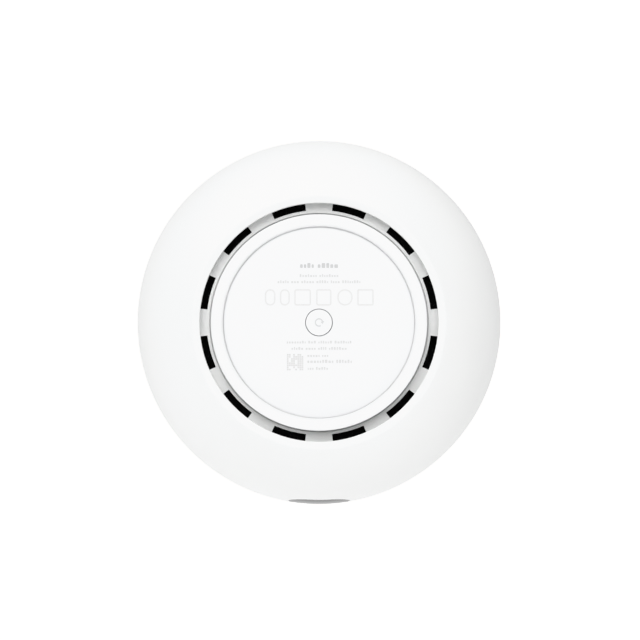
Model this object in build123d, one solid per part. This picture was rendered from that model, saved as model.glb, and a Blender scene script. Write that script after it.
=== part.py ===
from build123d import *
import os
from math import sqrt, sin, cos, radians, pi, atan2, degrees

# ---------------------------------------------------------------------------
# Free-standing desktop network gateway: a white upright capsule on a round
# foot.  Millimetres.  +Z up, origin at the centre of the foot's contact face.
# The status display looks along -Y, the sockets look along +Y.
# ---------------------------------------------------------------------------

# ---- driving dimensions ---------------------------------------------------
BODY_D = 110.0            # outside diameter of the casing
BODY_H = 184.0            # overall height
WALL = 2.4                # casing wall
LIP_R = 35.0              # radius of the opening in the casing's underside
LIP_OUT_R = 37.25         # outer radius of the flat lip round that opening
LIP_Z = 2.5               # height of that lip above the table
SEAM_Z0, SEAM_Z1 = 146.0, 148.2   # the light ring's seam near the top

FOOT_R = 31.68            # outer radius of the foot
FOOT_IN_R = 28.0          # inner radius of the elastomer foot ring
FOOT_H = 2.0              # height of the foot ring
LABEL_R = 27.92            # recessed disc inside the foot ring
LABEL_Z = 1.2             # recess depth of that disc
FLOOR_Z = 7.4             # height of the slotted floor in the intake channel
CHANNEL_IN_R = 32.25       # inner edge of that floor

SLOT_N = 12               # intake slots
SLOT_DEG = 16.7           # angular length of one slot
SLOT_R0, SLOT_R1 = 33.05, 35.35

BTN_R = 3.86              # reset button
BTN_HOLE_R = 4.06
BTN_TRAVEL = 0.6

WIN_W, WIN_H, WIN_RC = 18.3, 29.0, 6.2   # display window
WIN_Z0 = 28.8

IO_W, IO_H, IO_RC = 68.0, 57.0, 8.0      # socket recess
IO_Z0 = 49.5
PANEL_Y = 42.0            # outer face of the socket panel
PANEL_T = 2.0

JACK_PITCH = 15.2
JACK_X = [-1.5 * JACK_PITCH, -0.5 * JACK_PITCH, 0.5 * JACK_PITCH, 1.5 * JACK_PITCH]

POWER_Z0, POWER_Z1 = 50.4, 52.0          # power board
MAIN_Z0, MAIN_Z1 = 78.4, 80.0            # main board
RADIO_Z0, RADIO_Z1 = 115.0, 116.6        # radio board
BOARD_R = 46.5

FAN_Z0, FAN_Z1 = 21.0, 36.0
FAN_ROT = 15.0

# ---- derived --------------------------------------------------------------
R = BODY_D / 2
ZL = LIP_Z + sqrt(R * R - LIP_OUT_R * LIP_OUT_R)   # centre height of the lower sphere
ZT = BODY_H - R                            # centre height of the upper sphere
IO_ZC = IO_Z0 + IO_H / 2
WIN_ZC = WIN_Z0 + WIN_H / 2

os.makedirs("parts", exist_ok=True)
NODES = {}


# ---- helpers --------------------------------------------------------------
def cyl(r, z0, z1, x=0.0, y=0.0):
    return Pos(x, y, (z0 + z1) / 2) * Cylinder(r, z1 - z0)


def ring(ro, ri, z0, z1, x=0.0, y=0.0):
    return cyl(ro, z0, z1, x, y) - cyl(ri, z0 - 1, z1 + 1, x, y)


def box(x0, x1, y0, y1, z0, z1):
    return Pos((x0 + x1) / 2, (y0 + y1) / 2, (z0 + z1) / 2) * Box(x1 - x0, y1 - y0, z1 - z0)


def ycyl(r, y0, y1, x, z):
    return Pos(x, (y0 + y1) / 2, z) * Rot(90, 0, 0) * Cylinder(r, y1 - y0)


def polar(r, deg):
    return r * cos(radians(deg)), r * sin(radians(deg))


def wedge(deg, width, z0, z1, reach=90.0):
    a0, a1 = radians(deg - width / 2), radians(deg + width / 2)
    tri = make_face(Polyline((0, 0), (reach * cos(a0), reach * sin(a0)),
                             (reach * cos(a1), reach * sin(a1)), (0, 0)))
    return extrude(Pos(0, 0, z0) * tri, amount=z1 - z0)


def sector(ro, ri, z0, z1, deg, width):
    return ring(ro, ri, z0, z1) & wedge(deg, width, z0 - 1, z1 + 1)


def arc_on(radius, zc, p, q):
    """Arc from p to q, (r, z) points on the sphere of that radius about (0, zc)."""
    a = atan2(p[1] - zc, p[0])
    b = atan2(q[1] - zc, q[0])
    m = (a + b) / 2
    mid = (radius * cos(m), zc + radius * sin(m))
    return ThreePointArc((p[0], 0, p[1]), (mid[0], 0, mid[1]), (q[0], 0, q[1]))


def seg(p, q):
    return Line((p[0], 0, p[1]), (q[0], 0, q[1]))


def arc3(p, m, q):
    return ThreePointArc((p[0], 0, p[1]), (m[0], 0, m[1]), (q[0], 0, q[1]))


def turned(edges):
    return revolve(Face(Wire(edges)), Axis.Z, 360)


def on_low(radius, r):
    return (r, ZL - sqrt(radius * radius - r * r))


def on_top(radius, z):
    return (sqrt(radius * radius - (z - ZT) ** 2), z)


def capsule(radius):
    """Solid of the casing's outline, offset to that radius."""
    return turned([
        arc_on(radius, ZL, (0, ZL - radius), (radius, ZL)),
        seg((radius, ZL), (radius, ZT)),
        arc_on(radius, ZT, (radius, ZT), (0, ZT + radius)),
        seg((0, ZT + radius), (0, ZL - radius)),
    ])


def prism_y(w, h, rc, zc, y0, y1, xc=0.0):
    """Rounded rectangle in X and Z, from y0 to y1."""
    face = Plane(origin=(xc, y0, zc), x_dir=(1, 0, 0), z_dir=(0, -1, 0)) * RectangleRounded(w, h, rc)
    return extrude(face, amount=-(y1 - y0))


def put(name, shape):
    NODES[name] = shape


def group(items):
    return Compound(children=list(items))


# ===========================================================================
# Casing
# ===========================================================================
p_lip = (LIP_OUT_R, LIP_Z)
p_lip_in = on_low(R - WALL, LIP_R)
p_seam = on_top(R, SEAM_Z0)
p_seam_in = on_top(R - WALL, SEAM_Z0)
shell = turned([
    arc_on(R, ZL, p_lip, (R, ZL)),
    seg((R, ZL), (R, ZT)),
    arc_on(R, ZT, (R, ZT), p_seam),
    seg(p_seam, p_seam_in),
    arc_on(R - WALL, ZT, p_seam_in, (R - WALL, ZT)),
    seg((R - WALL, ZT), (R - WALL, ZL)),
    arc_on(R - WALL, ZL, (R - WALL, ZL), p_lip_in),
    seg(p_lip_in, (LIP_R, LIP_Z)),
    seg((LIP_R, LIP_Z), p_lip),
])
for r_edge, r_fil in ((LIP_R, 0.3), (LIP_OUT_R, 0.8)):
    lip_edge = shell.edges().filter_by(GeomType.CIRCLE).sort_by(lambda e: abs(e.center().Z - LIP_Z) + abs(e.radius - r_edge))[0]
    shell = fillet(lip_edge, r_fil)
seam_edge = shell.edges().filter_by(GeomType.CIRCLE).sort_by(lambda e: abs(e.center().Z - SEAM_Z0) + abs(e.radius - p_seam[0]))[0]
shell = fillet(seam_edge, 0.35)
shell -= prism_y(WIN_W + 0.24, WIN_H + 0.24, WIN_RC + 0.12, WIN_ZC, -60, -40)
shell -= prism_y(IO_W, IO_H, IO_RC, IO_ZC, 30, 60)
put("body_shell", shell)

cap = turned([
    arc_on(R, ZT, on_top(R, SEAM_Z1), (0, ZT + R)),
    seg((0, ZT + R), (0, ZT + R - WALL)),
    arc_on(R - WALL, ZT, (0, ZT + R - WALL), on_top(R - WALL, SEAM_Z1)),
    seg(on_top(R - WALL, SEAM_Z1), on_top(R, SEAM_Z1)),
])
cap_edge = cap.edges().filter_by(GeomType.CIRCLE).sort_by(lambda e: abs(e.center().Z - SEAM_Z1) + abs(e.radius - on_top(R, SEAM_Z1)[0]))[0]
cap = fillet(cap_edge, 0.35)
put("top_cap", cap)

# translucent ring in the seam, its face set back from the casing
RING_SET = 0.8
light = turned([
    seg((46.0, SEAM_Z0), on_top(R - RING_SET, SEAM_Z0)),
    arc_on(R - RING_SET, ZT, on_top(R - RING_SET, SEAM_Z0), on_top(R - RING_SET, SEAM_Z1)),
    seg(on_top(R - RING_SET, SEAM_Z1), (46.0, SEAM_Z1)),
    seg((46.0, SEAM_Z1), (46.0, SEAM_Z0)),
])
put("light_ring", light)

# ===========================================================================
# Display in the front
# ===========================================================================
WIN_T = 1.6
band = capsule(R) - capsule(R - WIN_T)
window = band & prism_y(WIN_W, WIN_H, WIN_RC, WIN_ZC, -60, -40)
put("display_window", window)

MOD_Y0, MOD_Y1 = -49.6, -47.4
gasket = (capsule(R - WIN_T) & (prism_y(17.4, 28.0, 5.6, WIN_ZC, -60, MOD_Y0 - 0.2)
                                - prism_y(12.4, 23.4, 1.5, WIN_ZC, -61, -40)))
put("display_gasket", gasket)
put("display_module", box(-7.0, 7.0, MOD_Y0, MOD_Y1, WIN_ZC - 12.8, WIN_ZC + 12.8))
bracket = box(-8.4, 8.4, MOD_Y0 - 0.2, -46.2, WIN_ZC - 14.0, WIN_ZC + 14.0)
bracket -= box(-7.05, 7.05, -60, MOD_Y1 + 0.05, WIN_ZC - 12.9, WIN_ZC + 12.9)
bracket -= box(-4.4, 4.4, -48, -40, WIN_ZC + 8.7, WIN_ZC + 11.7)
bracket &= capsule(R - WALL - 0.15)
put("display_bracket", bracket)

# ===========================================================================
# Socket panel in the back
# ===========================================================================
tray = prism_y(IO_W - 0.4, IO_H - 0.4, IO_RC - 0.2, IO_ZC, PANEL_Y - PANEL_T, 60)
tray -= prism_y(IO_W - 3.4, IO_H - 3.4, IO_RC - 1.7, IO_ZC, PANEL_Y, 61)
tray &= capsule(R - 0.25)

# sockets for the network cables
JZ0, JZ1 = MAIN_Z1, MAIN_Z1 + 13.4
JY0, JY1 = 19.0, PANEL_Y + 0.4
PORT_Z0 = JZ0 + 4.6
SHIELD_T = 0.3


def port_shape(x, y0, y1, grow=0.0):
    s = box(x - 5.9 - grow, x + 5.9 + grow, y0, y1, PORT_Z0 - grow, PORT_Z0 + 6.8 + grow)
    s += box(x - 3.2 - grow, x + 3.2 + grow, y0, y1, PORT_Z0 - 1.5 - grow, PORT_Z0 + 0.1)
    s += box(x - 2.0 - grow, x + 2.0 + grow, y0, y1, PORT_Z0 - 2.5 - grow, PORT_Z0 - 1.4)
    return s


shields, inserts, contacts, pipes = [], [], [], []
for x in JACK_X:
    pipe = [box(x + s * 5.6 - 1.2, x + s * 5.6 + 1.2, JY1 - 4.0, JY1 + 0.1, JZ1 - 1.75, JZ1 - 0.6) for s in (-1, 1)]
    pipes += pipe
    sh = box(x - 7.5, x + 7.5, JY0, JY1, JZ0, JZ1)
    sh -= box(x - 7.5 + SHIELD_T, x + 7.5 - SHIELD_T, JY0 + SHIELD_T, JY1 - SHIELD_T, JZ0 - 1, JZ1 - SHIELD_T)
    sh -= port_shape(x, JY1 - 1, JY1 + 1, 0.15)
    for p in pipe:
        sh -= p
    shields.append(sh)
    ins = box(x - 7.5 + SHIELD_T, x + 7.5 - SHIELD_T, JY0 + SHIELD_T, JY1 - SHIELD_T, JZ0, JZ1 - SHIELD_T)
    ins -= port_shape(x, JY1 - 14.6, JY1 + 1)
    for p in pipe:
        ins -= p
    inserts.append(ins)
    for k in range(8):
        cx = x + (k - 3.5) * 1.02
        wire = Pos(cx, JY1 - 9.6, PORT_Z0 + 5.75) * Rot(9, 0, 0) * Box(0.36, 9.0, 0.3)
        contacts.append(wire)
put("lan_jack_shields", group(shields))
put("lan_jack_inserts", group(inserts))
put("lan_jack_contacts", group(contacts))
put("port_light_pipes", group(pipes))
for x in JACK_X:
    tray -= box(x - 7.62, x + 7.62, PANEL_Y - 5, PANEL_Y + 5, JZ0 - 0.2, JZ1 + 0.15)

# cage for a pluggable optical module, hung under the main board
SX0, SX1, SZ0, SZ1 = -28.0, -14.0, MAIN_Z0 - 9.9, MAIN_Z0
SY0, SY1 = -4.0, PANEL_Y + 1.6
cage = box(SX0, SX1, SY0, SY1, SZ0, SZ1) - box(SX0 + 0.4, SX1 - 0.4, SY0 + 0.4, SY1 + 1, SZ0 + 0.4, SZ1 - 0.4)
# spring fingers: slits through the cage's walls just behind the mouth
for k in range(4):
    fx = SX0 + 2.2 + k * 3.2
    cage -= box(fx - 0.25, fx + 0.25, SY1 - 9.0, SY1 - 1.2, SZ0 - 1, SZ1 + 1)
for k in range(2):
    fz = SZ0 + 3.2 + k * 3.4
    cage -= box(SX0 - 1, SX1 + 1, SY1 - 9.0, SY1 - 1.2, fz - 0.25, fz + 0.25)
cage -= box(SX0 + 2.0, SX1 - 2.0, SY0 + 4, SY0 + 12, SZ1 - 1, SZ1 + 1)
put("sfp_cage", cage)
put("sfp_connector", box(SX0 + 2.2, SX1 - 2.2, SY0 + 4.2, SY0 + 11.8, SZ0 + 3.0, SZ1 - 0.02)
    - box(SX0 + 3.2, SX1 - 3.2, SY0 + 7.0, SY0 + 12, SZ0 + 4.4, SZ0 + 6.0))
tray -= box(SX0 - 0.15, SX1 + 0.15, PANEL_Y - 5, PANEL_Y + 5, SZ0 - 0.15, SZ1 + 0.15)

# memory card and its socket
CX0, CX1 = 3.8, 14.8
CZ0, CZ1 = 76.95, 77.75
CARD_Y1 = PANEL_Y + 0.5
card = box(CX0, CX1, CARD_Y1 - 15.0, CARD_Y1, CZ0, CZ1)
card -= box(CX1 - 1.2, CX1 + 1, CARD_Y1 - 16, CARD_Y1 - 8.5, CZ0 - 1, CZ1 + 1)
card += box(CX0 + 0.8, CX1 - 0.8, CARD_Y1 - 1.4, CARD_Y1 - 0.3, CZ1, CZ1 + 0.2)
put("memory_card", card)
sock = box(CX0 - 1.8, CX1 + 1.8, 24.0, PANEL_Y - PANEL_T - 0.2, CZ0 - 0.5, MAIN_Z0)
sock -= box(CX0 - 0.15, CX1 + 0.15, 26.6, 60, CZ0 - 0.12, CZ1 + 0.32)
put("card_socket", sock)
tray -= box(CX0 - 0.6, CX1 + 0.6, PANEL_Y - 5, PANEL_Y + 5, CZ0 - 0.4, CZ1 + 0.55)

# two-pin mains inlet
PZC = 58.0
INL_D = 20.0
inlet = prism_y(21.0, 12.0, 2.0, PZC, PANEL_Y - INL_D, PANEL_Y + 0.8)
cav = ycyl(4.05, PANEL_Y - 10.2, PANEL_Y + 2, -4.1, PZC) + ycyl(4.05, PANEL_Y - 10.2, PANEL_Y + 2, 4.1, PZC) \
    + box(-4.1, 4.1, PANEL_Y - 10.2, PANEL_Y + 2, PZC - 3.3, PZC + 3.3)
inlet -= cav
pins = [ycyl(1.18, PANEL_Y - INL_D - 2, PANEL_Y - 1.4, s * 4.3, PZC) for s in (-1, 1)]
for p in pins:
    inlet -= p
put("power_inlet", inlet)
put("power_inlet_pins", group(pins))
tray -= prism_y(21.2, 12.2, 2.1, PZC, PANEL_Y - 5, PANEL_Y + 5)

# exhaust slots above the sockets
for k in range(11):
    tray -= prism_y(2.2, 6.6, 1.09, 99.6, PANEL_Y - 5, PANEL_Y + 5, (k - 5) * 4.9)
put("io_panel", tray)

# ===========================================================================
# Base
# ===========================================================================
BO, BI = 52.2, 50.4           # bowl radii about the lower sphere's centre
b_out = (sqrt(BO * BO - (ZL - FLOOR_Z) ** 2), FLOOR_Z)
RIM_Z = 38.0
rim_out = (sqrt(BO * BO - (ZL - RIM_Z) ** 2), RIM_Z)
rim_in = (sqrt(BI * BI - (ZL - RIM_Z) ** 2), RIM_Z)
fl_in = (sqrt(BI * BI - (ZL - 9.4) ** 2), 9.4)
bowl = turned([
    seg((CHANNEL_IN_R, FLOOR_Z), b_out),
    arc_on(BO, ZL, b_out, rim_out),
    seg(rim_out, rim_in),
    arc_on(BI, ZL, rim_in, fl_in),
    seg(fl_in, (CHANNEL_IN_R, 9.4)),
    seg((CHANNEL_IN_R, 9.4), (CHANNEL_IN_R, FLOOR_Z)),
])
chassis = bowl + cyl(SLOT_R0, 9.0, 11.4)
for k in range(4):
    px, py = polar(25.0 * sqrt(2), 45 + 90 * k + FAN_ROT)
    chassis += cyl(3.2, 11.0, FAN_Z0, px, py) & capsule(BO)
for k in range(SLOT_N):
    chassis -= sector(SLOT_R1, SLOT_R0, 5.0, 11.35, 15 + 30 * k, SLOT_DEG)
# room for the display, and for the wires from the reset board
chassis -= box(-9.6, 9.6, -60, -40, WIN_Z0 - 1.2, 45)
chassis -= box(-3.0, 3.0, 9.0, 13.0, 8, 12)

filt = ring(35.6, 31.8, 11.4, 11.9)
for k in range(4):
    px, py = polar(25.0 * sqrt(2), 45 + 90 * k + FAN_ROT)
    filt -= cyl(3.4, 10, 22, px, py)
put("intake_filter", filt)

# foot: moulded base, elastomer ring, recessed disc
base = cyl(FOOT_R, FOOT_H, 8.8) - cyl(FOOT_R - 2.0, 3.4, 9.8)
SCREW_R = 28.7
for k in range(4):
    sx, sy = polar(SCREW_R, 45 + 90 * k)
    base += cyl(3.0, 2.4, 9.0, sx, sy) & cyl(FOOT_R, 0, 20)
base -= cyl(BTN_HOLE_R, 0, 5)
ribs = box(-29, -8, -0.6, 0.6, 3.3, 8.0) + box(8, 29, -0.6, 0.6, 3.3, 8.0)
base += ribs
base_screws = []
for k in range(4):
    sx, sy = polar(SCREW_R, 45 + 90 * k)
    s = cyl(2.2, FOOT_H + 0.1, 3.7, sx, sy) + cyl(1.25, 3.6, 10.8, sx, sy)
    s -= box(sx - 1.1, sx + 1.1, sy - 0.25, sy + 0.25, FOOT_H, 2.8)
    s -= box(sx - 0.25, sx + 0.25, sy - 1.1, sy + 1.1, FOOT_H, 2.8)
    base_screws.append(s)
    base -= cyl(2.25, 0, 3.7, sx, sy)
    base -= cyl(1.25, 3, 12, sx, sy)
    chassis -= cyl(1.25, 3, 10.8, sx, sy)
put("base_screws", group(base_screws))
put("foot_base", base)

f = 0.75
q = 0.95
s2 = sqrt(0.5)
foot = turned([
    seg((FOOT_R, FOOT_H), (FOOT_R, f)),
    arc3((FOOT_R, f), (FOOT_R - f + f * s2, f - f * s2), (FOOT_R - f, 0)),
    seg((FOOT_R - f, 0), (FOOT_IN_R + q, 0)),
    arc3((FOOT_IN_R + q, 0), (FOOT_IN_R + q - q * s2, q - q * s2), (FOOT_IN_R, q)),
    seg((FOOT_IN_R, q), (FOOT_IN_R, FOOT_H)),
    seg((FOOT_IN_R, FOOT_H), (FOOT_R, FOOT_H)),
])
put("foot_ring", foot)
label = cyl(LABEL_R, LABEL_Z, FOOT_H) - cyl(BTN_HOLE_R, 0, 5)
put("label_plate", label)

# reset button with its switch
button = cyl(BTN_R, LABEL_Z, 3.6) + cyl(5.2, 3.5, 4.3) + cyl(1.6, 4.2, 4.9)
b_edge = button.edges().filter_by(GeomType.CIRCLE).sort_by(Axis.Z)[0]
button = fillet(b_edge, 0.22)
put("reset_button", button)
put("switch_plunger", cyl(1.2, 4.9, 6.7))
put("reset_switch", box(-3.1, 3.1, -3.1, 3.1, 5.8, 8.2) - cyl(1.3, 5, 7.6))
put("reset_board", box(-8, 8, -6, 6, 8.2, 9.0))

# ===========================================================================
# Intake fan
# ===========================================================================
turn = Rot(0, 0, FAN_ROT)
fr = Pos(0, 0, (FAN_Z0 + FAN_Z1) / 2) * Box(60, 60, FAN_Z1 - FAN_Z0)
fr = fillet(fr.edges().filter_by(Axis.Z), 4.0)
# the corners are flanged: material between the end flanges is taken away
for k in range(4):
    cx, cy = polar(25.0 * sqrt(2) + 3.0, 45 + 90 * k)
    fr -= cyl(5.6, FAN_Z0 + 3.2, FAN_Z1 - 3.2, cx, cy)
fr -= cyl(28.6, FAN_Z0 - 1, FAN_Z1 + 1)
fan_screws = []
for k in range(4):
    cx, cy = polar(25.0 * sqrt(2), 45 + 90 * k)
    fr -= cyl(2.2, FAN_Z0 - 1, FAN_Z1 + 1, cx, cy)
for k in range(4):
    fr += Rot(0, 0, 20 + 90 * k) * box(11, 29.2, -1.4, 1.4, FAN_Z1 - 2.0, FAN_Z1)
fr += cyl(12.0, FAN_Z1 - 2.0, FAN_Z1)
fr += ring(4.0, 2.6, 25.0, FAN_Z1 - 1.5)
put("fan_frame", turn * fr)
put("fan_bearing", ring(2.6, 1.05, 25.4, 33.4))
put("fan_shaft", cyl(1.0, 23.0, 33.8))
hub = cyl(13.0, 22.2, 33.0)
hub = fillet(hub.edges().filter_by(GeomType.CIRCLE).sort_by(Axis.Z)[0], 1.5)
hub -= cyl(11.2, 24.2, 34)
hub -= cyl(1.0, 23.0, 25)
blade0 = Pos(20.2, 0, 28.0) * Rot(38, 0, 0) * Box(16.0, 14.5, 1.1)
blade0 &= ring(27.6, 12.4, 22.8, 32.9)
for k in range(7):
    hub += Rot(0, 0, 360 / 7 * k) * blade0
put("fan_rotor", hub)
put("fan_magnet", ring(11.2, 10.2, 24.6, 32.4))
stator = cyl(9.4, 26.0, 32.0) - cyl(4.0, 25, 33)
for k in range(4):
    cx, cy = polar(6.9, 45 + 90 * k)
    stator -= cyl(2.1, 25, 33, cx, cy)
    cx, cy = polar(9.8, 45 + 90 * k)
    stator -= cyl(1.6, 25, 33, cx, cy)
put("fan_stator", stator)
for k in range(4):
    px, py = polar(25.0 * sqrt(2), 45 + 90 * k + FAN_ROT)
    s = cyl(3.4, FAN_Z1, FAN_Z1 + 1.8, px, py) + cyl(1.6, 14.0, FAN_Z1 + 0.5, px, py)
    s -= box(px - 1.8, px + 1.8, py - 0.3, py + 0.3, FAN_Z1 + 0.8, FAN_Z1 + 2)
    s -= box(px - 0.3, px + 0.3, py - 1.8, py + 1.8, FAN_Z1 + 0.8, FAN_Z1 + 2)
    fan_screws.append(s)
    chassis -= cyl(1.6, 14.0, 30, px, py)
put("fan_screws", group(fan_screws))

# ===========================================================================
# Inner frame that carries the boards
# ===========================================================================
COLS = (20, 160, 220, 320)
frame = ring(51.4, 47.0, RIM_Z, 41.0)
for a in COLS:
    frame += sector(51.9, 48.4, 40.0, 141.0, a, 14)
    for z in (POWER_Z0, MAIN_Z0, RADIO_Z0):
        frame += Rot(0, 0, a) * box(43.0, 49.5, -4, 4, z - 2.4, z)
frame += ring(50.8, 45.0, 138.0, 141.0)
frame &= capsule(R - WALL - 0.25)
frame -= box(-10.0, 10.0, -60, -44, 30, 45)
board_screws = []


def board_disc(z0, z1, y_front, y_back):
    return cyl(BOARD_R, z0, z1) & box(-60, 60, y_front, y_back, z0, z1)


power = board_disc(POWER_Z0, POWER_Z1, -45.4, PANEL_Y - PANEL_T - 0.2)
main = board_disc(MAIN_Z0, MAIN_Z1, -45.4, PANEL_Y - PANEL_T - 0.2)
radio = board_disc(RADIO_Z0, RADIO_Z1, -60, 60)
for z0, z1, which in ((POWER_Z0, POWER_Z1, 0), (MAIN_Z0, MAIN_Z1, 1), (RADIO_Z0, RADIO_Z1, 2)):
    for a in COLS:
        sx, sy = polar(44.7, a)
        s = cyl(2.0, z1, z1 + 1.4, sx, sy) + cyl(1.1, z0 - 2.2, z1 + 0.5, sx, sy)
        s -= box(sx - 1.1, sx + 1.1, sy - 0.2, sy + 0.2, z1 + 0.7, z1 + 2)
        s -= box(sx - 0.2, sx + 0.2, sy - 1.1, sy + 1.1, z1 + 0.7, z1 + 2)
        board_screws.append(s)
        hole = cyl(1.1, z0 - 2.2, z1 + 0.5, sx, sy)
        frame -= hole
        if which == 0:
            power -= hole
        elif which == 1:
            main -= hole
        else:
            radio -= hole
put("board_screws", group(board_screws))
frame_screws = []
for a in (0, 90, 180, 250):
    sx, sy = polar(49.3, a)
    s = cyl(1.9, 41.0, 42.2, sx, sy) + cyl(0.9, 32.0, 41.5, sx, sy)
    s -= box(sx - 1.0, sx + 1.0, sy - 0.2, sy + 0.2, 41.7, 43)
    frame_screws.append(s)
    frame -= cyl(0.9, 30, 41.5, sx, sy)
    boss = cyl(2.4, 31.0, RIM_Z, sx, sy) & capsule(BO)
    chassis += boss
    chassis -= cyl(0.9, 32.0, 45, sx, sy)
put("frame_screws", group(frame_screws))
put("inner_frame", frame)
put("base_chassis", chassis)

# ===========================================================================
# Boards and what stands on them
# ===========================================================================
LEAD_X, LEAD_Y = polar(44.6, -10)
power -= cyl(2.0, 40, 60, LEAD_X, LEAD_Y)
power -= cyl(2.0, 40, 60, LEAD_X + 2.5, LEAD_Y)
main -= cyl(2.0, 70, 90, LEAD_X, LEAD_Y)
main -= cyl(2.0, 70, 90, LEAD_X + 2.5, LEAD_Y)
put("power_board", power)
tr = box(-32, -6, -24, -2, POWER_Z1, 66.0)
core = tr - box(-28, -10, -26, 0, POWER_Z1 + 3.4, 62.6)
coil = box(-27.9, -10.1, -24, -2, POWER_Z1 + 3.5, 62.5)
put("transformer_core", core)
put("transformer_winding", coil)
put("bulk_capacitors", group([cyl(6.3, POWER_Z1, 67.0, 10, -14), cyl(6.3, POWER_Z1, 67.0, 24, -14)]))
choke = Pos(24, 14, POWER_Z1 + 5.2) * Rot(0, 0, 0) * Torus(6.0, 3.2) & box(0, 50, -10, 40, POWER_Z1, 80)
put("mains_choke", choke)

put("soc_package", box(-12, 12, -30, -6, MAIN_Z1, MAIN_Z1 + 2.2))
put("thermal_pad", box(-15, 15, -33, -3, MAIN_Z1 + 2.2, MAIN_Z1 + 3.2))
HS0 = MAIN_Z1 + 3.2
sink = box(-27, 27, -36, 8, HS0, HS0 + 3.0)
for k in range(10):
    fx = -26.4 + k * (52.8 - 1.4) / 9
    sink += box(fx, fx + 1.4, -36, 8, HS0 + 2.5, HS0 + 21.0)
sink_screws = []
for sx in (-23.55, 23.55):
    for sy in (-33.0, 5.0):
        sink -= box(sx - 3.2, sx + 3.2, sy - 3.2, sy + 3.2, HS0 + 3.0, HS0 + 30)
        s = cyl(2.6, HS0 + 3.0, HS0 + 4.8, sx, sy) + cyl(1.25, MAIN_Z0, HS0 + 3.5, sx, sy)
        s -= box(sx - 1.5, sx + 1.5, sy - 0.25, sy + 0.25, HS0 + 4.0, HS0 + 6)
        sink_screws.append(s)
        sink -= cyl(1.25, MAIN_Z0, HS0 + 4, sx, sy)
        main -= cyl(1.25, MAIN_Z0 - 1, HS0, sx, sy)
put("heat_sink", sink)
put("heat_sink_screws", group(sink_screws))
put("main_board", main)
put("memory_chips", group([box(-32, -20, 11.5, 16.5, MAIN_Z1, MAIN_Z1 + 1.2), box(-6, 6, 11.5, 16.5, MAIN_Z1, MAIN_Z1 + 1.2),
                           box(18, 30, 11.5, 16.5, MAIN_Z1, MAIN_Z1 + 1.2)]))

put("radio_board", radio)
put("radio_shields", group([box(-30, -3, -22, 4, RADIO_Z1, RADIO_Z1 + 2.6), box(3, 30, -22, 4, RADIO_Z1, RADIO_Z1 + 2.6),
                            box(-16, 16, 10, 30, RADIO_Z1, RADIO_Z1 + 2.6)]))

# ===========================================================================
# Antennas and the light ring's board under the dome
# ===========================================================================
carrier = ring(42.0, 40.2, RADIO_Z1, 142.0) + ring(46.0, 38.0, 141.0, 143.0)
for k in range(6):
    carrier -= sector(43, 39, RADIO_Z1 - 1, 122.0, 60 * k, 24)
    wx, wy = polar(41.0, 60 * k + 30)
    carrier -= Rot(0, 0, 60 * k + 30) * box(38, 44, -2.2, 2.2, 119.0, 121.4)
put("antenna_carrier", carrier)
ants = []
for k in range(6):
    a = sector(42.5, 42.0, 121.0 if k % 2 else 124.0, 139.0, 60 * k + 30, 42)
    a -= sector(43, 41, 127.0, 129.0, 60 * k + 30 + 7, 30)
    a -= sector(43, 41, 132.5, 134.5, 60 * k + 30 - 7, 30)
    ants.append(a)
put("antennas", group(ants))
leads = []
for k in range(6):
    t = Rot(0, 0, 60 * k + 30)
    path = FilletPolyline((36.8, 0, 118.4), (36.8, 0, 120.4), (40.1, 0, 120.4), radius=0.85)
    prof = Plane(origin=(36.8, 0, 118.4), z_dir=(0, 0, 1)) * Circle(0.45)
    lead = sweep(prof, path=path)
    lead += cyl(1.2, RADIO_Z1, 118.4, 36.8, 0)
    leads.append(t * lead)
put("antenna_leads", group(leads))

put("ring_led_board", ring(47.4, 38.6, 143.0, 144.2))
leds = []
for k in range(16):
    leds.append(Rot(0, 0, 22.5 * k) * box(44.9, 46.7, -1.2, 1.2, 144.2, 145.1))
put("ring_leds", group(leds))

# ===========================================================================
# Wiring
# ===========================================================================
FLEX_Z = WIN_ZC + 9.7
flex = box(-4.0, 4.0, -46.15, -45.95, FLEX_Z, 81.6)
flex += box(-4.0, 4.0, -47.3, -45.95, FLEX_Z, FLEX_Z + 0.2)
flex += box(-4.0, 4.0, -46.15, -42.4, 81.4, 81.6)
put("display_flex", flex)
put("board_headers", group([
    box(-5.5, 5.5, -42.4, -37.6, MAIN_Z1, MAIN_Z1 + 2.4),
    box(34.6, 40.4, -10.6, -4.6, MAIN_Z1, MAIN_Z1 + 5.0),
    box(-43.0, -36.0, -7.0, 2.0, POWER_Z1, POWER_Z1 + 6.0),
    box(-43.0, -36.0, -7.0, 2.0, MAIN_Z0 - 6.0, MAIN_Z0),
]))
put("dc_lead", group([cyl(1.0, POWER_Z1 + 6.0, MAIN_Z0 - 6.0, -39.5, y) for y in (-5.0, -2.5, 0.0)]))
fx, fy = polar(33.58, -10)
pts = [(fx, fy, 34.5), (LEAD_X, LEAD_Y, 34.5), (LEAD_X, LEAD_Y, 87.6), (37.5, -7.6, 87.6), (37.5, -7.6, MAIN_Z1 + 5.0)]
radii = [5.0, 3.0, 2.4]
path = FilletPolyline(*pts, radius=radii)
d0 = (Vector(*pts[1]) - Vector(*pts[0])).normalized()
lead = sweep(Plane(origin=pts[0], z_dir=(d0.X, d0.Y, d0.Z)) * Circle(0.9), path=path)
put("fan_lead", lead)

# ---------------------------------------------------------------------------
for name, shape in NODES.items():
    export_step(shape, f"parts/{name}.step")
print(len(NODES), "nodes")
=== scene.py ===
import math
import random

import bmesh
import bpy
from mathutils import Matrix, Vector


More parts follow.
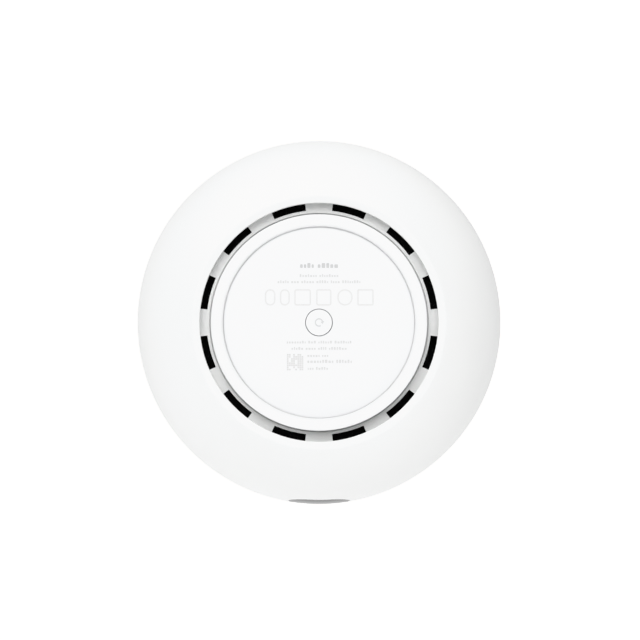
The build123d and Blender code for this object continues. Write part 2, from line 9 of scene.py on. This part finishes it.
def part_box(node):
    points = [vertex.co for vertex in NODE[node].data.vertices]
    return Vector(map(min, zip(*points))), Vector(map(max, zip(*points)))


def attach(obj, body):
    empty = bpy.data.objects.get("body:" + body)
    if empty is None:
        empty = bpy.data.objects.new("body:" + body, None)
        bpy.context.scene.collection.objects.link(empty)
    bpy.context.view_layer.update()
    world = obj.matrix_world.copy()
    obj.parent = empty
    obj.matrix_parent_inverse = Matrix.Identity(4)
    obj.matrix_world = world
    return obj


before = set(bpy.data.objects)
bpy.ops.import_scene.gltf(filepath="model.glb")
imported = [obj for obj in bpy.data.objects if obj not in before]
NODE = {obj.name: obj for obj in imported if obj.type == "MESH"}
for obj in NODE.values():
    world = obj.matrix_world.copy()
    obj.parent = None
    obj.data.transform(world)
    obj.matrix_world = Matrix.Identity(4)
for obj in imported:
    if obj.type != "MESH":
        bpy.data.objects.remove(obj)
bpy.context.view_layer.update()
MM = 0.001
rng = random.Random(7)


# ---------------------------------------------------------------------------
# Camera: straight under the foot, looking up along the object's axis.
# The image's top is +Y and its right is -X.
# ---------------------------------------------------------------------------
cam_data = bpy.data.cameras.new("camera")
cam_data.sensor_width = 36.0
cam_data.lens = 230.83
cam_data.shift_x = 1.0 / 640
cam_data.shift_y = 2.5 / 640
cam_data.clip_start = 0.05
cam_data.clip_end = 200.0
cam = bpy.data.objects.new("camera", cam_data)
cam.location = (0.0, 0.0, -1.2)
cam.rotation_euler = (0.0, math.pi, 0.0)
bpy.context.scene.collection.objects.link(cam)
bpy.context.scene.camera = cam


# ---------------------------------------------------------------------------
# Node helpers
# ---------------------------------------------------------------------------
class Mat:
    """A Principled material with its nodes close at hand."""

    def __init__(self, name):
        self.m = bpy.data.materials.new(name)
        self.m.use_nodes = True
        self.t = self.m.node_tree
        self.p = self.t.nodes["Principled BSDF"]
        self.co = self.t.nodes.new("ShaderNodeTexCoord").outputs["Object"]

    def node(self, kind, **inputs):
        n = self.t.nodes.new(kind)
        for k, v in inputs.items():
            if k.startswith("_"):
                setattr(n, k[1:], v)
            else:
                n.inputs[k.replace("_", " ")].default_value = v
        return n

    def link(self, a, b):
        self.t.links.new(a, b)

    def scaled(self, sx, sy, sz, rz=0.0):
        n = self.node("ShaderNodeMapping")
        n.inputs["Scale"].default_value = (sx, sy, sz)
        n.inputs["Rotation"].default_value = (0, 0, rz)
        self.link(self.co, n.inputs["Vector"])
        return n.outputs["Vector"]

    def noise(self, scale, detail=2.0, rough=0.5, co=None, distortion=0.0):
        n = self.node("ShaderNodeTexNoise", Scale=scale, Detail=detail, Roughness=rough, Distortion=distortion)
        self.link(co or self.co, n.inputs["Vector"])
        return n.outputs["Fac"]

    def ramp(self, value, low, high, out_low, out_high):
        n = self.node("ShaderNodeMapRange")
        n.inputs["From Min"].default_value = low
        n.inputs["From Max"].default_value = high
        n.inputs["To Min"].default_value = out_low
        n.inputs["To Max"].default_value = out_high
        self.link(value, n.inputs["Value"])
        return n.outputs["Result"]

    def math(self, op, a, b=None, c=None):
        n = self.node("ShaderNodeMath", _operation=op)
        for i, v in enumerate((a, b, c)):
            if v is None:
                continue
            if isinstance(v, (int, float)):
                n.inputs[i].default_value = v
            else:
                self.link(v, n.inputs[i])
        return n.outputs[0]

    def mix(self, fac, a, b):
        n = self.node("ShaderNodeMix", _data_type="RGBA")
        for sock, v in ((n.inputs[0], fac), (n.inputs[6], a), (n.inputs[7], b)):
            if isinstance(v, (int, float)):
                sock.default_value = v
            elif isinstance(v, (tuple, list)):
                sock.default_value = (*v, 1.0) if len(v) == 3 else v
            else:
                self.link(v, sock)
        return n.outputs[2]

    def bump(self, height, distance, strength=1.0, normal=None):
        n = self.node("ShaderNodeBump", Strength=strength, Distance=distance)
        self.link(height, n.inputs["Height"])
        if normal is not None:
            self.link(normal, n.inputs["Normal"])
        return n.outputs["Normal"]

    def set(self, **kw):
        for k, v in kw.items():
            s = self.p.inputs[k.replace("_", " ")]
            if isinstance(v, (int, float)):
                s.default_value = v
            elif isinstance(v, (tuple, list)):
                s.default_value = (*v, 1.0) if len(v) == 3 and s.type == "RGBA" else v
            else:
                self.link(v, s)
        return self


def moulded(name, colour, rough=0.42, var=0.012, grain=2600.0, grain_mm=0.006, spec=0.5, subsurface=0.0, coat=0.0, recess_shade=None):
    """Injection-moulded plastic: an even colour with faint flow variation and a fine sparked texture.
    The last argument, (from radius mm, to radius mm, amount), paints shade: a faint grey darkening towards the
    round step of a recess, where shade falls."""
    m = Mat(name)
    broad = m.noise(38.0, 3.0, 0.55)
    fine = m.noise(grain, 2.0, 0.6)
    pits = m.noise(grain * 0.31, 2.0, 0.5)
    lo = tuple(max(0.0, c * (1 - var)) for c in colour)
    hi = tuple(min(1.0, c * (1 + var)) for c in colour)
    base = m.mix(m.ramp(broad, 0.3, 0.7, 0.0, 1.0), lo, hi)
    # painted shade: the base colour greys towards the step of the label's recess, standing in for shade the
    # geometry gives too weakly
    if recess_shade:
        xyz = m.node("ShaderNodeSeparateXYZ")
        m.link(m.co, xyz.inputs[0])
        x, y = xyz.outputs[0], xyz.outputs[1]
        r = m.math("SQRT", m.math("ADD", m.math("MULTIPLY", x, x), m.math("MULTIPLY", y, y)))
        shade_near = m.ramp(r, recess_shade[0] * MM, recess_shade[1] * MM, 0.0, 1.0)
        base = m.mix(m.math("MULTIPLY", m.math("POWER", shade_near, 1.4), recess_shade[2]), base, tuple(c * 0.25 for c in colour))
    m.set(Base_Color=base,
          Roughness=m.ramp(fine, 0.3, 0.7, rough - 0.05, rough + 0.05),
          Specular_IOR_Level=spec)
    h = m.math("ADD", m.math("MULTIPLY", fine, 0.65), m.math("MULTIPLY", pits, 0.35))
    m.set(Normal=m.bump(h, grain_mm * MM, 0.8))
    if subsurface:
        m.set(Subsurface_Weight=subsurface, Subsurface_Radius=(0.0012, 0.001, 0.0009))
        m.p.inputs["Subsurface Scale"].default_value = 1.0
    if coat:
        m.set(Coat_Weight=coat, Coat_Roughness=0.12)
    return m.m


def metal(name, colour, rough=0.28, brushed=(1.0, 1.0, 1.0), scale=900.0, var=0.04, grain_mm=0.0003):
    """Plated or brushed metal, the grain stretched along the axis with the smallest factor."""
    m = Mat(name)
    v = m.scaled(*brushed)
    streak = m.noise(scale, 3.0, 0.6, co=v)
    cloud = m.noise(90.0, 3.0, 0.6)
    lo = tuple(c * (1 - var) for c in colour)
    m.set(Base_Color=m.mix(m.ramp(cloud, 0.3, 0.7, 0.0, 1.0), lo, colour), Metallic=1.0,
          Roughness=m.ramp(streak, 0.25, 0.75, rough - 0.04, rough + 0.05),
          Normal=m.bump(streak, grain_mm * MM, 0.35))
    return m.m


MAT = {}
WHITE = (0.90, 0.905, 0.90)
MAT["casing"] = moulded("casing_white", WHITE, rough=0.46, var=0.004, grain=2400.0, grain_mm=0.003)
MAT["chassis"] = moulded("chassis_white", (0.93, 0.935, 0.93), rough=0.5, var=0.006, grain=2400.0, grain_mm=0.003)
# the foot ring and the label get painted shade, greying towards the step between them
MAT["foot"] = moulded("foot_elastomer", (0.905, 0.91, 0.915), rough=0.58, var=0.004, grain=3600.0, grain_mm=0.003, spec=0.35, recess_shade=(28.95, 28.0, 0.24))
MAT["label"] = moulded("label_film", (0.905, 0.91, 0.92), rough=0.44, var=0.002, grain=4200.0, grain_mm=0.0015, recess_shade=(27.1, 27.92, 0.20))
MAT["button"] = moulded("button_white", (0.90, 0.905, 0.91), rough=0.4, var=0.003, grain=3600.0, grain_mm=0.002)
MAT["panel"] = moulded("panel_white", (0.80, 0.805, 0.81), rough=0.48, var=0.01, grain=2400.0, grain_mm=0.006)
MAT["black"] = moulded("black_plastic", (0.018, 0.018, 0.019), rough=0.42, var=0.12, grain=2600.0, grain_mm=0.008)
MAT["frame"] = moulded("frame_plastic", (0.10, 0.10, 0.105), rough=0.5, var=0.08, grain=2200.0, grain_mm=0.01)
MAT["nylon"] = moulded("nylon", (0.78, 0.76, 0.68), rough=0.5, var=0.03, grain=2200.0, grain_mm=0.01)
MAT["chip"] = moulded("chip_package", (0.015, 0.015, 0.016), rough=0.55, var=0.1, grain=3000.0, grain_mm=0.01)
MAT["pad"] = moulded("thermal_pad", (0.40, 0.47, 0.56), rough=0.8, var=0.06, grain=1200.0, grain_mm=0.03)
MAT["foam"] = moulded("foam_gasket", (0.02, 0.02, 0.02), rough=0.9, var=0.15, grain=1500.0, grain_mm=0.05)
MAT["ferrite"] = moulded("ferrite", (0.06, 0.06, 0.065), rough=0.6, var=0.15, grain=1800.0, grain_mm=0.02)
MAT["wire"] = moulded("wire_jacket", (0.03, 0.03, 0.033), rough=0.5, var=0.1, grain=1800.0, grain_mm=0.01)
MAT["steel"] = metal("nickel_sheet", (0.70, 0.69, 0.67), rough=0.30, brushed=(0.08, 1.0, 1.0))
MAT["screw"] = metal("screw_zinc", (0.62, 0.63, 0.66), rough=0.34)
MAT["gold"] = metal("gold_plate", (0.90, 0.68, 0.33), rough=0.22)
MAT["pin"] = metal("pin_nickel", (0.80, 0.77, 0.70), rough=0.2)
MAT["sink"] = metal("sink_aluminium", (0.70, 0.71, 0.73), rough=0.38, brushed=(1.0, 0.1, 1.0))

# circuit board: solder mask with fine tracks showing through
m = Mat("circuit_board")
tracks = m.node("ShaderNodeTexBrick", Scale=420.0, Mortar_Size=0.06, Bias=0.0, Brick_Width=0.9, Row_Height=0.33)
m.link(m.co, tracks.inputs["Vector"])
tracks.inputs["Color1"].default_value = (0.016, 0.075, 0.036, 1)
tracks.inputs["Color2"].default_value = (0.012, 0.060, 0.030, 1)
tracks.inputs["Mortar"].default_value = (0.03, 0.14, 0.065, 1)
m.set(Base_Color=tracks.outputs["Color"], Roughness=m.ramp(m.noise(60.0, 3.0), 0.3, 0.7, 0.28, 0.4),
      Normal=m.bump(tracks.outputs["Fac"], 0.02 * MM, 0.5), Coat_Weight=0.3, Coat_Roughness=0.2)
MAT["pcb"] = m.m

# copper winding under yellow tape
m = Mat("winding_tape")
wave = m.node("ShaderNodeTexWave", Scale=900.0, Distortion=0.6, Detail=1.0)
wave.bands_direction = "Z"
m.link(m.co, wave.inputs["Vector"])
m.set(Base_Color=m.mix(wave.outputs["Fac"], (0.62, 0.40, 0.07), (0.86, 0.62, 0.16)), Roughness=m.ramp(wave.outputs["Fac"], 0, 1, 0.3, 0.5),
      Normal=m.bump(wave.outputs["Fac"], 0.1 * MM, 0.6))
MAT["winding"] = m.m

# capacitor sleeve
m = Mat("capacitor_sleeve")
m.set(Base_Color=m.mix(m.ramp(m.noise(200.0, 2.0), 0.3, 0.7, 0, 1), (0.02, 0.03, 0.07), (0.03, 0.045, 0.10)),
      Roughness=m.ramp(m.noise(900.0, 2.0), 0.3, 0.7, 0.24, 0.36), Coat_Weight=0.4, Coat_Roughness=0.15)
MAT["capacitor"] = m.m

# polyimide flex
m = Mat("polyimide")
m.set(Base_Color=m.mix(m.ramp(m.noise(400.0, 2.0), 0.3, 0.7, 0, 1), (0.42, 0.19, 0.03), (0.55, 0.26, 0.05)),
      Roughness=m.ramp(m.noise(1500.0, 2.0), 0.3, 0.7, 0.25, 0.4))
MAT["flex"] = m.m

# gloss black display window: a clear hard coat over black print
m = Mat("display_gloss")
win_lo, win_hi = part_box("display_window")
mod_lo, mod_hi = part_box("display_module")
sep = m.node("ShaderNodeSeparateXYZ")
m.link(m.co, sep.inputs[0])
dx = m.math("ABSOLUTE", sep.outputs[0])
dz = m.math("ABSOLUTE", m.math("SUBTRACT", sep.outputs[2], (mod_lo.z + mod_hi.z) / 2))
in_x = m.ramp(dx, mod_hi.x - 0.0012, mod_hi.x - 0.0010, 1.0, 0.0)
in_z = m.ramp(dz, (mod_hi.z - mod_lo.z) / 2 - 0.0014, (mod_hi.z - mod_lo.z) / 2 - 0.0012, 1.0, 0.0)
active = m.math("MULTIPLY", in_x, in_z)
ink_black = m.mix(m.ramp(m.noise(120.0, 2.0), 0.3, 0.7, 0, 1), (0.006, 0.006, 0.0065), (0.008, 0.0085, 0.0095))
m.set(Base_Color=m.mix(active, ink_black, (0.020, 0.022, 0.026)),
      Roughness=m.ramp(m.noise(300.0, 3.0), 0.3, 0.7, 0.05, 0.09),
      Normal=m.bump(m.noise(900.0, 2.0), 0.0004 * MM, 0.4),
      Coat_Weight=0.4, Coat_Roughness=0.03)
MAT["display"] = m.m

# woven filter behind the intake slots
m = Mat("filter_mesh")
v = m.scaled(2300.0, 2300.0, 2300.0, math.radians(45))
sep = m.node("ShaderNodeSeparateXYZ")
m.link(v, sep.inputs[0])
wx = m.math("ABSOLUTE", m.math("SINE", m.math("MULTIPLY", sep.outputs[0], math.pi)))
wy = m.math("ABSOLUTE", m.math("SINE", m.math("MULTIPLY", sep.outputs[1], math.pi)))
weave = m.math("MAXIMUM", wx, wy)
m.set(Base_Color=m.mix(weave, (0.0006, 0.0006, 0.0006), (0.004, 0.004, 0.004)), Roughness=m.ramp(weave, 0, 1, 0.95, 0.7),
      Normal=m.bump(weave, 0.12 * MM, 0.8), Specular_IOR_Level=0.1)
MAT["filter"] = m.m

# frosted ring, lit softly from behind
m = Mat("ring_diffuser")
frost = m.noise(2600.0, 2.0)
glow = m.ramp(m.noise(26.0, 2.0), 0.35, 0.65, 0.9, 1.0)
m.set(Base_Color=m.mix(m.ramp(frost, 0.3, 0.7, 0, 1), (0.62, 0.74, 0.88), (0.70, 0.80, 0.92)),
      Roughness=m.ramp(frost, 0.3, 0.7, 0.3, 0.45), Normal=m.bump(frost, 0.004 * MM, 0.6),
      Emission_Color=m.mix(glow, (0.30, 0.52, 0.95), (0.40, 0.62, 1.0)), Emission_Strength=0.35)
MAT["ring"] = m.m

# clear light pipes and emitters
m = Mat("light_pipe")
frost = m.noise(2200.0, 2.0)
m.set(Base_Color=m.mix(m.ramp(frost, 0.3, 0.7, 0, 1), (0.72, 0.78, 0.80), (0.84, 0.88, 0.90)),
      Roughness=m.ramp(frost, 0.3, 0.7, 0.18, 0.3), Coat_Weight=0.5, Coat_Roughness=0.1)
MAT["pipe"] = m.m

# grey inks: the label's darkest line, its faint lines, the button, and the socket numbers
def ink(name, colour, var=0.05):
    k = Mat(name)
    speck = k.noise(3000.0, 3.0)
    k.set(Base_Color=k.mix(k.ramp(speck, 0.3, 0.7, 0, 1), tuple(c * (1 - var) for c in colour), colour),
          Roughness=k.ramp(speck, 0.3, 0.7, 0.45, 0.55))
    return k.m


MAT["ink"] = ink("label_ink", (0.62, 0.62, 0.625))
MAT["ink_faint"] = ink("label_ink_faint", (0.735, 0.735, 0.735))
MAT["ink_mark"] = ink("label_ink_mark", (0.79, 0.79, 0.79))
MAT["ink_button"] = ink("button_ink", (0.69, 0.695, 0.70))
MAT["panel_ink"] = ink("panel_ink", (0.09, 0.092, 0.096))

LOOK = {
    "casing": ["body_shell", "top_cap"],
    "panel": ["io_panel"],
    "chassis": ["base_chassis", "foot_base"],
    "foot": ["foot_ring"],
    "label": ["label_plate"],
    "button": ["reset_button"],
    "ring": ["light_ring"],
    "display": ["display_window", "display_module"],
    "foam": ["display_gasket"],
    "black": ["display_bracket", "switch_plunger", "lan_jack_inserts", "sfp_connector", "memory_card", "power_inlet", "fan_frame", "fan_rotor"],
    "flex": ["display_flex"],
    "filter": ["intake_filter"],
    "steel": ["lan_jack_shields", "sfp_cage", "card_socket", "radio_shields", "reset_switch"],
    "gold": ["lan_jack_contacts", "antennas"],
    "pipe": ["port_light_pipes", "ring_leds"],
    "pin": ["power_inlet_pins", "fan_bearing"],
    "screw": ["base_screws", "fan_screws", "frame_screws", "board_screws", "heat_sink_screws", "fan_shaft"],
    "ferrite": ["fan_magnet", "fan_stator", "transformer_core"],
    "wire": ["fan_lead", "dc_lead", "antenna_leads"],
    "frame": ["inner_frame", "antenna_carrier"],
    "pcb": ["power_board", "main_board", "radio_board", "ring_led_board", "reset_board"],
    "winding": ["transformer_winding", "mains_choke"],
    "capacitor": ["bulk_capacitors"],
    "chip": ["soc_package", "memory_chips"],
    "pad": ["thermal_pad"],
    "sink": ["heat_sink"],
    "nylon": ["board_headers"],
}
done = set()
for look, names in LOOK.items():
    for n in names:
        o = NODE[n]
        o.data.materials.clear()
        o.data.materials.append(MAT[look])
        done.add(n)
missing = set(NODE) - done
if missing:
    raise RuntimeError(f"no look for {sorted(missing)}")


# ---------------------------------------------------------------------------
# Mesh helpers
# ---------------------------------------------------------------------------
def mesh_object(name, bm, material, smooth=False):
    bmesh.ops.recalc_face_normals(bm, faces=bm.faces)
    me = bpy.data.meshes.new(name)
    bm.to_mesh(me)
    bm.free()
    for p in me.polygons:
        p.use_smooth = smooth
    me.materials.append(material)
    o = bpy.data.objects.new(name, me)
    bpy.context.scene.collection.objects.link(o)
    return o


def slab(bm, outline, z0, z1):
    """A closed plate: the outline (a list of x, y) between two heights."""
    lo = [bm.verts.new((x, y, z0)) for x, y in outline]
    hi = [bm.verts.new((x, y, z1)) for x, y in outline]
    bm.faces.new(lo[::-1])
    bm.faces.new(hi)
    n = len(outline)
    for i in range(n):
        j = (i + 1) % n
        bm.faces.new((lo[i], lo[j], hi[j], hi[i]))


def frame_slab(bm, outer, inner, z0, z1):
    """A closed plate with a hole: two outlines with the same number of points."""
    n = len(outer)
    vs = [[bm.verts.new((x, y, z)) for x, y in ring] for z in (z0, z1) for ring in (outer, inner)]
    ol, il, oh, ih = vs
    for i in range(n):
        j = (i + 1) % n
        bm.faces.new((ol[i], il[i], il[j], ol[j]))
        bm.faces.new((oh[i], oh[j], ih[j], ih[i]))
        bm.faces.new((ol[i], ol[j], oh[j], oh[i]))
        bm.faces.new((il[i], ih[i], ih[j], il[j]))


def round_rect(cx, cy, w, h, r, steps=5):
    r = min(r, w / 2 - 1e-7, h / 2 - 1e-7)
    pts = []
    for qx, qy, a0 in ((1, 1, 0), (-1, 1, 90), (-1, -1, 180), (1, -1, 270)):
        for k in range(steps + 1):
            a = math.radians(a0 + 90 * k / steps)
            pts.append((cx + qx * (w / 2 - r) + r * math.cos(a), cy + qy * (h / 2 - r) + r * math.sin(a)))
    return pts


# ---------------------------------------------------------------------------
# Print on the label: rows of plain blocks where a maker prints lines. There
# are no letters in it. Positions are as seen from below, where right is -X.
# ---------------------------------------------------------------------------
lab_lo, lab_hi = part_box("label_plate")
LZ = lab_lo.z
INK = 0.012 * MM
SINK = 0.004 * MM


def block_row(bm, cx, cy, width, height, words):
    """Word-like groups of small blocks, width mm wide in all, centred on cx, cy."""
    space = height * 0.75
    room = width - space * (len(words) - 1)
    total = sum(words)
    x = cx + width / 2
    for w in words:
        ww = room * w / total
        n = max(2, round(ww / (height * 0.78)))
        parts = [0.75 + 0.5 * rng.random() for _ in range(n)]
        gap = height * 0.20
        unit = (ww - gap * (n - 1)) / sum(parts)
        bx = x
        for p in parts:
            bw = p * unit
            bh = height * (1.0 if rng.random() < 0.3 else 0.74)
            slab(bm, round_rect((bx - bw / 2) * MM, (cy + (bh - height * 0.74) / 2) * MM, bw * MM, bh * MM, height * 0.14 * MM, 2), LZ - INK, LZ + SINK)
            bx -= bw + gap
        x -= ww + space


def outline(bm, cx, cy, w, h, r, t):
    frame_slab(bm, round_rect(cx * MM, cy * MM, w * MM, h * MM, r * MM, 5),
               round_rect(cx * MM, cy * MM, (w - 2 * t) * MM, (h - 2 * t) * MM, max(0.05, r - t) * MM, 5), LZ - INK, LZ + SINK)


def label_piece(name, bm, ink_name):
    o = mesh_object(name, bm, MAT[ink_name])
    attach(o, "housing")
    return o


bm = bmesh.new()
block_row(bm, 0.0, 16.50, 11.1, 1.45, (3.0, 4.4))
label_piece("label_print_heading", bm, "ink")

bm = bmesh.new()
for cx, cy, w, h, words in (
        (0.0, 13.60, 11.4, 0.90, (4.5, 5.0)),
        (0.0, 11.80, 24.3, 0.90, (3.2, 2.2, 3.6, 3.4, 2.6, 5.2)),
        (0.0, -5.85, 19.0, 0.90, (5.0, 2.0, 3.6, 4.4)),
        (0.0, -7.70, 16.2, 0.90, (2.8, 2.4, 2.0, 4.2)),
        (0.35, -9.80, 6.2, 0.90, (4.0, 2.0)),
        (-3.1, -11.50, 13.1, 1.05, (5.0, 3.0)),
        (0.35, -13.55, 6.0, 0.90, (2.0, 4.0))):
    block_row(bm, cx, cy, w, h, words)
label_piece("label_print_lines", bm, "ink_faint")

# a row of blank plates, then a square of scattered blocks
bm = bmesh.new()
for cx, w, r in ((14.3, 3.2, 1.55), (10.0, 3.0, 1.45), (4.8, 5.0, 0.7), (-1.4, 4.6, 0.7), (-7.6, 4.6, 2.25), (-13.6, 4.9, 0.5)):
    outline(bm, cx, 7.35, w, 4.9, r, 0.52)
label_piece("label_print_plates", bm, "ink_mark")

bm = bmesh.new()
for i in range(8):
    for j in range(8):
        if rng.random() < 0.78:
            slab(bm, round_rect((7.0 + (i - 3.5) * 0.62) * MM, (-11.6 + (j - 3.5) * 0.62) * MM, 0.56 * MM, 0.56 * MM, 0.06 * MM, 2), LZ - INK, LZ + SINK)
label_piece("label_print_square", bm, "ink_faint")

# reset arrow on the button: an open ring with one arrow head
btn_lo, btn_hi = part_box("reset_button")
BZ = btn_lo.z


def seen(r, deg):
    """A point at that radius (mm) and angle as seen from below."""
    return (-r * math.cos(math.radians(deg)) * MM, r * math.sin(math.radians(deg)) * MM)


bm = bmesh.new()
a0, a1, n = 18.0, 300.0, 44
arc = [a0 + (a1 - a0) * k / n for k in range(n + 1)]
slab(bm, [seen(1.28, a) for a in arc] + [seen(0.84, a) for a in arc[::-1]], BZ - INK, BZ + SINK)
slab(bm, [seen(1.70, 16.0), seen(0.44, 26.0), seen(1.12, -24.0)], BZ - INK, BZ + SINK)
icon = mesh_object("reset_icon", bm, MAT["ink_button"])
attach(icon, "reset_button")


# ---------------------------------------------------------------------------
# Numbers 1 to 4 above the network sockets
# ---------------------------------------------------------------------------
shield_lo, shield_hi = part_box("lan_jack_shields")
# the tray's floor is where the numbers are printed
PANEL_FACE = 0.04201
pitch = (shield_hi.x - shield_lo.x - 0.015) / 3
for k in range(4):
    cu = bpy.data.curves.new(f"socket_number_{k + 1}", "FONT")
    cu.body = str(k + 1)
    cu.size = 0.0029
    cu.align_x = "CENTER"
    cu.align_y = "CENTER"
    cu.extrude = 0.00001
    tmp = bpy.data.objects.new("tmp_text", cu)
    bpy.context.scene.collection.objects.link(tmp)
    bpy.context.view_layer.update()
    me = bpy.data.meshes.new_from_object(tmp)
    bpy.data.objects.remove(tmp)
    # the text faces +Y, upright, read from behind the object
    x = shield_hi.x - 0.0075 - pitch * k
    me.transform(Matrix.Translation((x, PANEL_FACE, shield_hi.z + 0.00155)) @ Matrix.Rotation(math.pi, 4, "Z") @ Matrix.Rotation(math.pi / 2, 4, "X"))
    me.materials.clear()
    me.materials.append(MAT["panel_ink"])
    o = bpy.data.objects.new(f"socket_number_{k + 1}", me)
    bpy.context.scene.collection.objects.link(o)
    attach(o, "housing")


# ---------------------------------------------------------------------------
# Stage: a pale floor that shows only to a camera above it, and studio light
# ---------------------------------------------------------------------------
bm = bmesh.new()
bmesh.ops.create_circle(bm, cap_ends=True, segments=96, radius=40.0)
floor = mesh_object("floor", bm, None)
floor.location.z = -0.0002
floor.data.materials.clear()
fm = bpy.data.materials.new("floor")
fm.use_nodes = True
ft = fm.node_tree
fp = ft.nodes["Principled BSDF"]
fp.inputs["Base Color"].default_value = (0.80, 0.805, 0.81, 1)
fp.inputs["Roughness"].default_value = 0.75
fp.inputs["Specular IOR Level"].default_value = 0.2
geo = ft.nodes.new("ShaderNodeNewGeometry")
tr = ft.nodes.new("ShaderNodeBsdfTransparent")
mx = ft.nodes.new("ShaderNodeMixShader")
ft.links.new(geo.outputs["Backfacing"], mx.inputs[0])
ft.links.new(fp.outputs[0], mx.inputs[1])
ft.links.new(tr.outputs[0], mx.inputs[2])
ft.links.new(mx.outputs[0], ft.nodes["Material Output"].inputs["Surface"])
floor.data.materials.append(fm)
# the light studio stands above and below; the floor only catches the object's shadow
floor.visible_diffuse = False
floor.visible_glossy = False
floor.visible_transmission = False
floor.visible_shadow = False

world = bpy.data.worlds.new("studio")
bpy.context.scene.world = world
world.use_nodes = True
wt = world.node_tree
bg = wt.nodes["Background"]
bg.inputs["Color"].default_value = (1.0, 1.0, 1.0, 1)
tc = wt.nodes.new("ShaderNodeTexCoord")
sp = wt.nodes.new("ShaderNodeSeparateXYZ")
wt.links.new(tc.outputs["Generated"], sp.inputs[0])
BELOW, ABOVE = 0.20, 0.75
half = wt.nodes.new("ShaderNodeMapRange")
half.inputs["From Min"].default_value = -0.15
half.inputs["From Max"].default_value = 0.35
half.inputs["To Min"].default_value = BELOW
half.inputs["To Max"].default_value = ABOVE
wt.links.new(sp.outputs[2], half.inputs["Value"])
wt.links.new(half.outputs["Result"], bg.inputs["Strength"])
# what the camera sees behind the object: pure white overhead, pale grey at the horizon
bg2 = wt.nodes.new("ShaderNodeBackground")
bg2.inputs["Color"].default_value = (1.0, 1.0, 1.0, 1)
mr = wt.nodes.new("ShaderNodeMapRange")
mr.inputs["From Min"].default_value = 0.55
mr.inputs["From Max"].default_value = 0.95
mr.inputs["To Min"].default_value = 0.66
mr.inputs["To Max"].default_value = 1.6
wt.links.new(sp.outputs[2], mr.inputs["Value"])
wt.links.new(mr.outputs["Result"], bg2.inputs["Strength"])
lp = wt.nodes.new("ShaderNodeLightPath")
wm = wt.nodes.new("ShaderNodeMixShader")
wt.links.new(lp.outputs["Is Camera Ray"], wm.inputs[0])
wt.links.new(bg.outputs[0], wm.inputs[1])
wt.links.new(bg2.outputs[0], wm.inputs[2])
wt.links.new(wm.outputs[0], wt.nodes["World Output"].inputs["Surface"])


def soft_sun(name, polar, azimuth, strength, spread, glossy=False, colour=(1.0, 1.0, 1.0)):
    """Broad even light. polar is the angle from straight below, azimuth turns from +X to +Y, both in degrees."""
    data = bpy.data.lights.new(name, "SUN")
    data.energy = strength
    data.angle = math.radians(spread)
    data.color = colour
    o = bpy.data.objects.new(name, data)
    t, a = math.radians(polar), math.radians(azimuth)
    d = Vector((math.sin(t) * math.cos(a), math.sin(t) * math.sin(a), -math.cos(t)))
    o.location = Vector((0, 0, 0.09)) + d
    o.rotation_mode = "QUATERNION"
    o.rotation_quaternion = (-d).to_track_quat("-Z", "Y")
    o.visible_glossy = glossy
    bpy.context.scene.collection.objects.link(o)
    return o


for light in (
        ("below_back", 30, 90, 1.40, 40),
        ("below_back_left", 30, 45, 0.80, 40),
        ("below_back_right", 30, 135, 0.20, 40),
        ("below", 0, 0, 0.18, 40),
        ("low_front_left", 55, 315, 0.11, 40),
        ("side_front", 80, 270, 1.04, 40),
        ("side_front_right", 80, 225, 0.57, 40),
        ("side_front_left", 80, 315, 0.48, 40),
        ("side_right", 80, 180, 0.43, 40),
        ("side_back_left", 80, 45, 0.41, 40),
        ("side_back", 80, 90, 0.25, 40),
        ("side_back_right", 80, 135, 0.09, 40),
        ("key", 130, 330, 0.63, 25)):
    soft_sun(*light)

scene = bpy.context.scene
scene.view_settings.view_transform = "Standard"
scene.view_settings.look = "None"
scene.view_settings.exposure = 0.0
scene.view_settings.gamma = 1.0
# a soft shoulder, as on a bright product photograph: whites level off just under
# paper white, and only the bare background reaches it
KNEE, CEIL = 0.88, 0.975
scene.view_settings.use_curve_mapping = True
cm = scene.view_settings.curve_mapping
cm.use_clip = True
cm.clip_max_x = 6.0
cm.clip_max_y = 6.0
curve = cm.curves[3]
table = [(0.0, 0.0), (KNEE, KNEE)]
for x in (0.92, 0.96, 1.0, 1.05, 1.12, 1.2, 1.32):
    table.append((x, KNEE + (CEIL - KNEE) * (1 - math.exp(-(x - KNEE) / (CEIL - KNEE)))))
table += [(1.5, 1.02), (6.0, 1.2)]
while len(curve.points) < len(table):
    curve.points.new(0.5, 0.5)
for pt, (x, y) in zip(curve.points, table):
    pt.location = (x, y)
    pt.handle_type = "VECTOR"
# the whitest whites a shade cool
for channel, knee, top in ((0, 0.900, 0.960), (2, 0.900, 0.985)):
    c = cm.curves[channel]
    while len(c.points) < 4:
        c.points.new(0.5, 0.5)
    for pt, (x, y) in zip(c.points, ((0.0, 0.0), (0.90, knee), (CEIL, top), (1.02, 1.02))):
        pt.location = (x, y)
        pt.handle_type = "VECTOR"
cm.update()
